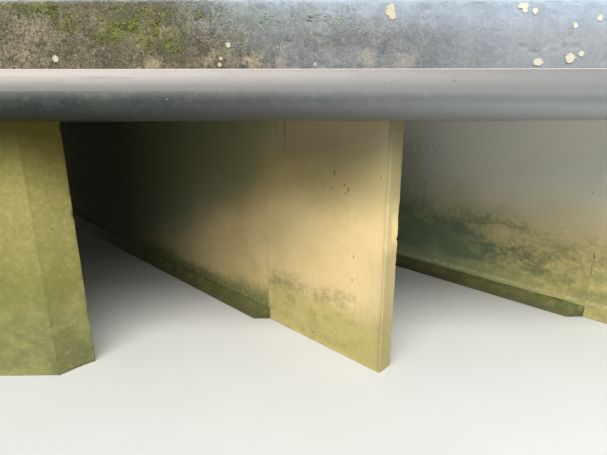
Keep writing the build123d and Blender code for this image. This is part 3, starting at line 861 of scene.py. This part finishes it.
fill_joint("left_joint_filler", "left_upstand", "centre_upstand")
fill_joint("right_joint_filler", "centre_upstand", "right_upstand")

# Moss and lichen
rng = np.random.default_rng(7)
TUFTS, DOTS, DISCS = 1700, 30, 18
ROOT = 0.008  # how far lichen reaches into the worn face
CRUST = 0.0025  # and how far it stands out


def lump(bm, centre, radii, turn, seed):
    """A lumpy cushion of moss: a small ball squeezed and roughened."""
    ball = bmesh.ops.create_icosphere(bm, subdivisions=1, radius=1.0)["verts"]
    co = corners_of(ball)
    swell = 0.7 + 0.6 * noise(co + seed * 3.7, 0.7, 5)
    co = co * swell[:, None] * np.array(radii)
    c, s = math.cos(turn), math.sin(turn)
    for v, (x, y, z) in zip(ball, co):
        v.co = Vector((centre[0] + x * c - z * s, centre[1] + y, centre[2] + x * s + z * c))


def scatter_moss():
    """Small cushions where the green growth is painted."""
    bm = bmesh.new()
    made = 0
    while made < TUFTS:
        x, z = rng.uniform(-2.66, 0.4), rng.uniform(2.42, 2.8)
        here = growth(np.array([x]), np.array([z]), GREEN_GROWTH)[0]
        clump = cloud(np.array([[x, 0.0, z]]), 0.07, 95)[0]
        if here * smooth(clump, 0.48, 0.66) < rng.uniform(0.05, 1.0):
            continue
        size = rng.uniform(0.002, 0.0056) * (1 + 0.5 * here)
        radii = (size * rng.uniform(0.8, 1.5), 0.0048, size)
        lump(bm, (NOSE_X + x, FACE_Y + 0.004, z), radii, rng.uniform(0, 3), made)
        made += 1
    new_piece("upstand_moss", bm, MOSS, 80)


def crust(bm, x, z, half_x, half_z, seed):
    """A thin disc of lichen with an uneven rim."""
    rim, count = [], 30
    for i in range(count):
        a = 2 * math.pi * i / count
        q = np.array([[math.cos(a) * 1.3 + seed * 5.1, math.sin(a) * 1.3, 0.0]])
        r = 0.62 + 0.45 * noise(q, 0.6, 3)[0] + 0.25 * noise(q, 0.22, 4)[0]
        rim.append((x + half_x * r * math.cos(a), z + half_z * r * math.sin(a)))
    front, back = [], []
    for px, pz in rim:
        back.append(bm.verts.new((px, FACE_Y + ROOT, pz)))
        front.append(bm.verts.new((x + (px - x) * 0.86, FACE_Y - CRUST, z + (pz - z) * 0.86)))
    middle = bm.verts.new((x, FACE_Y - CRUST * 0.6, z))
    base = bm.verts.new((x, FACE_Y + ROOT, z))
    for i in range(count):
        j = (i + 1) % count
        bm.faces.new((back[i], back[j], front[j], front[i]))
        bm.faces.new((front[i], front[j], middle))
        bm.faces.new((back[j], back[i], base))


def scatter_lichen():
    """Discs that the photo shows, then dots all along the face and discs beyond the photo's edges."""
    bm = bmesh.new()
    placed = [(-1.135, 2.555, 0.02, 0.02), (-0.055, 2.765, 0.03, 0.048), (-0.04, 2.74, 0.026, 0.03),
              (0.825, 2.795, 0.038, 0.022), (0.84, 2.77, 0.02, 0.02), (0.909, 2.763, 0.02, 0.024),
              (1.19, 2.678, 0.018, 0.022), (1.35, 2.721, 0.02, 0.022), (0.976, 2.441, 0.036, 0.028),
              (1.191, 2.47, 0.036, 0.034), (1.262, 2.496, 0.022, 0.02), (-2.307, 2.467, 0.022, 0.022),
              (-1.2, 2.43, 0.014, 0.014), (-1.19, 2.47, 0.012, 0.012), (-0.55, 2.43, 0.01, 0.014)]
    for i in range(DOTS):
        size = rng.uniform(0.0025, 0.005)
        placed.append((rng.uniform(-2.6, 3.5), rng.uniform(2.42, 2.79), size, size * rng.uniform(0.8, 1.2)))
    for i in range(DISCS):
        size = rng.uniform(0.008, 0.022)
        x = rng.choice([rng.uniform(1.7, 5.0), rng.uniform(-4.0, -2.8)])
        placed.append((x, rng.uniform(2.43, 2.78), size, size))
    for i, (x, z, half_x, half_z) in enumerate(placed):
        crust(bm, NOSE_X + x, z, half_x, half_z, i)
    bmesh.ops.recalc_face_normals(bm, faces=bm.faces)
    new_piece("upstand_lichen", bm, LICHEN, 60)


scatter_moss()
scatter_lichen()


# The pipe
def bridge(bm, a, b):
    """Faces between two rings of corners."""
    for i in range(len(a)):
        j = (i + 1) % len(a)
        bm.faces.new((a[i], a[j], b[j], b[i]))


def make_pipe():
    """A finer tube with softened ends in the CAD pipe's place."""
    low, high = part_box("service_pipe")
    around, rings, lip = 128, 84, 0.002
    bm = bmesh.new()
    loops = []
    profile = [(high.x, PIPE_BORE), (low.x, PIPE_BORE), (low.x, PIPE_R - lip), (low.x + lip, PIPE_R)]
    profile += [(low.x + (high.x - low.x) * i / rings, PIPE_R) for i in range(1, rings)]
    profile += [(high.x - lip, PIPE_R), (high.x, PIPE_R - lip)]
    for x, r in profile:
        loops.append([bm.verts.new((x, PIPE_Y + r * math.sin(2 * math.pi * i / around),
                                    PIPE_Z + r * math.cos(2 * math.pi * i / around))) for i in range(around)])
    for a, b in zip(loops, loops[1:] + loops[:1]):
        bridge(bm, a, b)
    bmesh.ops.recalc_face_normals(bm, faces=bm.faces)
    piece = new_piece("carried_pipe", bm, PIPE, 30)
    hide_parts("service_pipe")


make_pipe()


# The brackets
def turned(bm, profile, centre, axis, sides, turn=0.0):
    """A solid of revolution, or a prism with few sides, from (reach along the axis, radius) points."""
    to_axis = Vector((0, 0, 1)).rotation_difference(Vector(axis)).to_matrix()
    angles = [turn + 2 * math.pi * i / sides for i in range(sides)]
    loops = []
    for reach, radius in profile:
        corners = [Vector((radius * math.cos(angle), radius * math.sin(angle), reach)) for angle in angles]
        loops.append([bm.verts.new(Vector(centre) + to_axis @ corner) for corner in corners])
    for a, b in zip(loops, loops[1:]):
        bridge(bm, a, b)
    bm.faces.new(list(reversed(loops[0])))
    bm.faces.new(loops[-1])


def nut(bm, centre, axis, size, turn):
    """A hexagon nut with turned corners."""
    r, h = size * 0.866, size * 0.8  # radius over the corners and height
    turned(bm, [(0, r * 0.93), (h * 0.09, r), (h * 0.91, r), (h, r * 0.93)], centre, axis, 6, turn)


WASHER, THREAD_PITCH, RIPPLE = 0.003, 0.002, 0.0035


def washer(bm, centre, axis, radius):
    rim = WASHER / 5
    profile = [(0, radius * 0.97), (rim, radius), (WASHER - rim, radius), (WASHER, radius * 0.97)]
    turned(bm, profile, centre, axis, 28)


def stud(bm, centre, axis, radius, length):
    """A threaded end."""
    profile, reach = [(0, radius)], 0.0
    while reach + THREAD_PITCH < length - 0.002:
        profile += [(reach + THREAD_PITCH * 0.5, radius * 0.9), (reach + THREAD_PITCH, radius)]
        reach += THREAD_PITCH
    profile += [(length, radius * 0.8)]
    turned(bm, profile, centre, axis, 16)


def weld(bm, start, end):
    """A rippled bead along a seam."""
    start, end = Vector(start), Vector(end)
    length = (end - start).length
    count = max(4, round(length / RIPPLE))
    profile = [(length * i / count, 0.005 * (0.86 + 0.14 * abs(math.sin(i * 1.9)))) for i in range(count + 1)]
    turned(bm, profile, start, (end - start).normalized(), 8)


def bracket_fixings(side):
    """Anchors in the back plate, washers and nuts on the U-bolt's legs, and welds at the gussets."""
    plate_low, plate_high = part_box(side + "_bracket_back_plate")
    shelf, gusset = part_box(side + "_bracket_shelf")[0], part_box(side + "_bracket_gussets")[0]
    x, face = (plate_low.x + plate_high.x) / 2, plate_low.y
    outwards, down = (0, -1, 0), (0, 0, -1)
    bm = bmesh.new()
    for k, (dx, z) in enumerate(((-0.07, plate_high.z - 0.024), (0.07, plate_high.z - 0.024),
                                 (0, shelf.z - 0.09), (0, shelf.z - 0.25))):
        washer(bm, (x + dx, face, z), outwards, 0.015)
        nut(bm, (x + dx, face - WASHER, z), outwards, 0.0138, 0.3 + k)
        stud(bm, (x + dx, face - 0.01, z), outwards, 0.008, 0.024)
    new_piece(side + "_anchor_bolts", bm, STEEL, 30)
    bm = bmesh.new()
    clearance, rod_radius = 0.0003, 0.01
    leg = PIPE_R + clearance + rod_radius
    for k, y in enumerate((PIPE_Y - leg, PIPE_Y + leg)):
        washer(bm, (x, y, shelf.z), down, 0.018)
        nut(bm, (x, y, shelf.z - WASHER), down, 0.0172, 0.2 + k)
        nut(bm, (x, y, shelf.z - 0.0175), down, 0.0172, 0.9 + k)
    new_piece(side + "_u_bolt_nuts", bm, STEEL, 30)
    bm = bmesh.new()
    for at in (x - 0.058, x + 0.058):
        weld(bm, (at, face - 0.002, gusset.z + 0.004), (at, face - 0.002, shelf.z - 0.006))
        weld(bm, (at, face - 0.006, shelf.z - 0.002), (at, shelf.y + 0.006, shelf.z - 0.002))
    new_piece(side + "_bracket_welds", bm, STEEL, 80)


for side in ("left", "right"):
    bracket_fixings(side)
    for part_name, material in (
            ("bracket_back_plate", STEEL), ("bracket_shelf", STEEL), ("bracket_gussets", STEEL),
            ("u_bolt", STEEL), ("pipe_saddle", PLASTIC)):
        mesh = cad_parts[side + "_" + part_name].data
        mesh.materials.clear()
        mesh.materials.append(material)


# Floor, light and camera
def make_floor():
    """Pale to the camera, glowing a little far away, and as dark as earth in the light it throws back."""
    m = Shader("pale_floor")
    seen = m.seen()
    tone = m.mix(m.noise(0.8, 3, 0.5), rgb(184, 184, 181), rgb(190, 190, 187))
    m.colour = m.mix(seen, rgb(118, 110, 90), tone)
    far = m.add("ShaderNodeVectorMath", {0: m.place}, operation="LENGTH").outputs["Value"]
    glow = m.times(seen, m.step(far, 5.0, 26.0, 0.0, 0.9))
    material = m.finish(
        0.9, Specular_IOR_Level=0.1, Emission_Color=rgb(250, 250, 248), Emission_Strength=glow)
    bm = bmesh.new()
    bmesh.ops.create_grid(bm, x_segments=8, y_segments=8, size=60)
    mesh = bpy.data.meshes.new("floor")
    bm.to_mesh(mesh)
    bm.free()
    mesh.materials.append(material)
    floor = linked("floor", mesh)
    floor.location.z = -0.002


def make_world():
    """White to camera, glossy and transmission rays, and a dim blue fill to all others."""
    world = bpy.data.worlds.new("studio")
    bpy.context.scene.world = world
    w = Nodes(world)
    fill = w.add("ShaderNodeBackground", {"Color": (0.72, 0.87, 1.0), "Strength": 0.45}).outputs[0]
    white = w.add("ShaderNodeBackground", {"Color": (1, 1, 1), "Strength": 1.0}).outputs[0]
    choose = w.add("ShaderNodeMixShader", {0: w.seen(), 1: fill, 2: white}).outputs[0]
    w.add("ShaderNodeOutputWorld", {0: choose})


def softbox(name, centre, target, width, height, watts, colour, spread=180):
    lamp = bpy.data.lights.new(name, "AREA")
    lamp.shape = "RECTANGLE"
    lamp.size, lamp.size_y = width, height
    lamp.energy = watts
    lamp.color = colour
    lamp.spread = math.radians(spread)
    box = linked(name, lamp)
    box.location = centre
    box.rotation_euler = (Vector(target) - Vector(centre)).to_track_quat("-Z", "Y").to_euler()
    box.visible_camera = False


def make_camera():
    """The photo's camera, worked out from its vanishing points and edges."""
    tilt_down, roll, yaw = 16.515, 0.094, -0.507
    data = bpy.data.cameras.new("photo_camera")
    data.sensor_fit = "HORIZONTAL"
    data.sensor_width = 36.0
    data.lens = 26.856
    data.clip_end = 300
    camera = linked("photo_camera", data)
    camera.location = (0.8793, -6.0111, 2.2428)
    camera.rotation_euler = (math.radians(90 - tilt_down), math.radians(roll), math.radians(yaw))
    bpy.context.scene.camera = camera


make_floor()
make_world()
make_camera()
SKY_DISTANCE, SKY_AIM_Z = 14.2, 1.5
for name, elevation, height, watts in (
        ("sky_softbox_low", 30, 5.0, 560), ("sky_softbox", 48, 7.6, 2250),
        ("sky_softbox_high", 53, 5.0, 2250)):
    rise = math.radians(elevation)
    centre = (NOSE_X - 0.1, FACE_Y - SKY_DISTANCE * math.cos(rise), SKY_AIM_Z + SKY_DISTANCE * math.sin(rise))
    softbox(name, centre, (NOSE_X - 0.3, FACE_Y, SKY_AIM_Z), 20, height, watts, (1.0, 0.985, 0.95))
softbox("low_softbox", (NOSE_X + 1.0, FACE_Y - 2.6, 1.0), (NOSE_X + 2.3, FACE_Y + 1.0, 1.75),
        1.6, 1.0, 17, (0.9, 0.96, 1.0), 120)
softbox("back_softbox", (NOSE_X - 2.0, FACE_Y + 16, 13.0), (NOSE_X - 2.0, FACE_Y + 3, 2.0),
        14, 8, 700, (1.0, 1.0, 1.0))

bpy.context.scene.view_settings.view_transform = "Standard"
bpy.context.view_layer.update()
